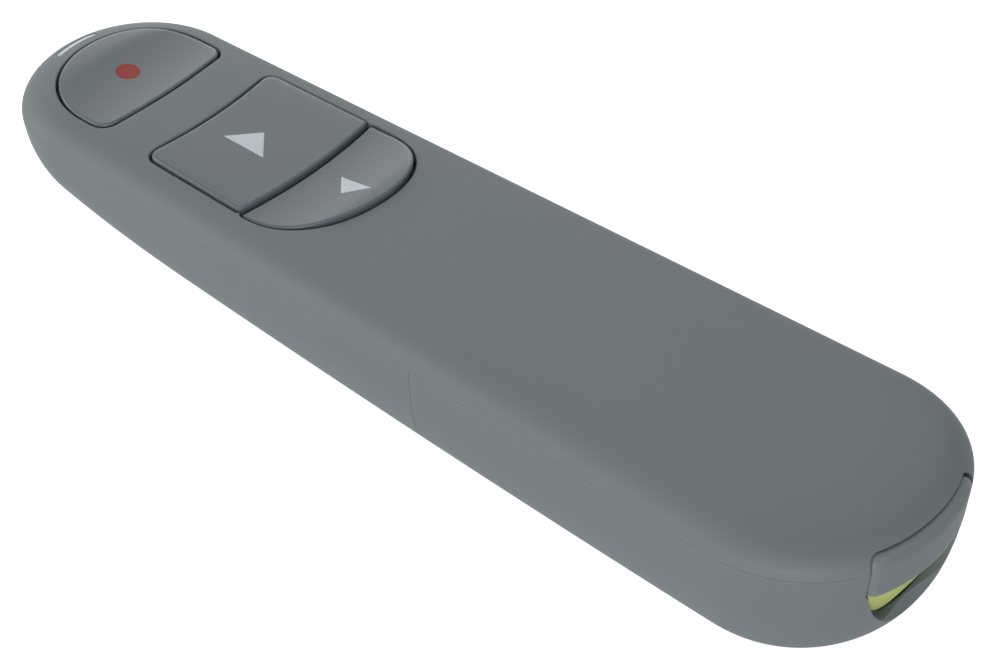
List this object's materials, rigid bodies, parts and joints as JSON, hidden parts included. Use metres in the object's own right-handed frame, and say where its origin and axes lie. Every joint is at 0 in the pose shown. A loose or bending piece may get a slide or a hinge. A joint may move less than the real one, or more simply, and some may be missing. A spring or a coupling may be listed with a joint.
{
  "type": "wireless presentation clicker",
  "caption": "Slim tapered handset with a laser button, a large next button, a previous button, a sliding battery door and a stored plug-in receiver.",
  "frame": {"origin": "on the resting plane, under the middle of the handset", "axes": "+Y towards the laser end, -Y towards the stored receiver, +Z out of the buttons, +X to the right when the laser points away"},
  "size_m": [0.0376, 0.1329, 0.0172],
  "materials": {
    "soft_grey": "soft-touch matt",
    "button_grey": "satin gloss",
    "frame_black": "moulded, matt",
    "mark_red": "printed",
    "mark_pale": "printed",
    "switch_black": "moulded",
    "switch_brown": "moulded",
    "board_green": "solder mask",
    "chip_black": "moulded",
    "chip_tan": "ceramic",
    "steel": "nickel plated",
    "brass": "turned",
    "gold": "gold plated",
    "clear": "frosted clear",
    "laser_red": "tinted clear",
    "led_white": "moulded",
    "wire_red": "insulation",
    "cell_wrap": "printed sleeve",
    "lime": "satin",
    "slider_grey": "moulded",
    "tongue_white": "moulded"
  },
  "bodies": {
    "handset": {"top_shell": "soft_grey", "bottom_shell": "soft_grey", "chassis": "frame_black", "laser_switch_base": "switch_black", "next_switch_base": "switch_black", "previous_switch_base": "switch_black", "main_board": "board_green", "radio_chip": "chip_black", "crystal_can": "steel", "small_parts": "chip_tan", "status_led": "led_white", "light_guide": "clear", "laser_barrel": "brass", "laser_diode": "gold", "laser_lens": "clear", "laser_window": "laser_red", "laser_leads": "wire_red", "power_switch_body": "steel", "battery_left": "cell_wrap", "battery_right": "cell_wrap", "bridge_contact": "steel", "positive_contact": "steel", "negative_contact": "steel", "battery_springs": "steel", "battery_leads": "wire_red", "housing_screws": "steel", "board_screws": "steel"},
    "laser_cap": {"laser_button": "button_grey", "laser_mark": "mark_red"},
    "next_cap": {"next_button": "button_grey", "next_arrow": "mark_pale"},
    "previous_cap": {"previous_button": "button_grey", "previous_arrow": "mark_pale"},
    "laser_plunger": {"laser_switch_plunger": "switch_brown"},
    "next_plunger": {"next_switch_plunger": "switch_brown"},
    "previous_plunger": {"previous_switch_plunger": "switch_brown"},
    "slider": {"power_slider": "slider_grey"},
    "door": {"battery_door": "soft_grey"},
    "receiver": {"receiver_cap": "soft_grey", "receiver_body": "lime", "receiver_plug_shell": "steel", "receiver_tongue": "tongue_white", "receiver_contacts": "gold"}
  },
  "joints": [
    {"name": "laser_press", "type": "slide", "parent": "handset", "child": "laser_cap", "axis": [0, 0, -1], "range_m": [0, 0.0005], "stiffness_N_per_m": 650},
    {"name": "next_press", "type": "slide", "parent": "handset", "child": "next_cap", "axis": [0, 0, -1], "range_m": [0, 0.0005], "stiffness_N_per_m": 650},
    {"name": "previous_press", "type": "slide", "parent": "handset", "child": "previous_cap", "axis": [0, 0, -1], "range_m": [0, 0.0005], "stiffness_N_per_m": 650},
    {"name": "laser_switch_press", "type": "slide", "parent": "handset", "child": "laser_plunger", "axis": [0, 0, -1], "range_m": [0, 0.0005]},
    {"name": "next_switch_press", "type": "slide", "parent": "handset", "child": "next_plunger", "axis": [0, 0, -1], "range_m": [0, 0.0005]},
    {"name": "previous_switch_press", "type": "slide", "parent": "handset", "child": "previous_plunger", "axis": [0, 0, -1], "range_m": [0, 0.0005]},
    {"name": "power_slide", "type": "slide", "parent": "handset", "child": "slider", "axis": [0, 1, 0], "range_m": [0, 0.003]},
    {"name": "door_slide", "type": "slide", "parent": "handset", "child": "door", "axis": [0, -1, 0], "range_m": [0, 0.064]},
    {"name": "receiver_pull", "type": "slide", "parent": "handset", "child": "receiver", "axis": [0, -1, 0], "range_m": [0, 0.022]}
  ],
  "couplings": [
    {"joint": "laser_switch_press", "follows": "laser_press", "ratio": 1},
    {"joint": "next_switch_press", "follows": "next_press", "ratio": 1},
    {"joint": "previous_switch_press", "follows": "previous_press", "ratio": 1}
  ]
}
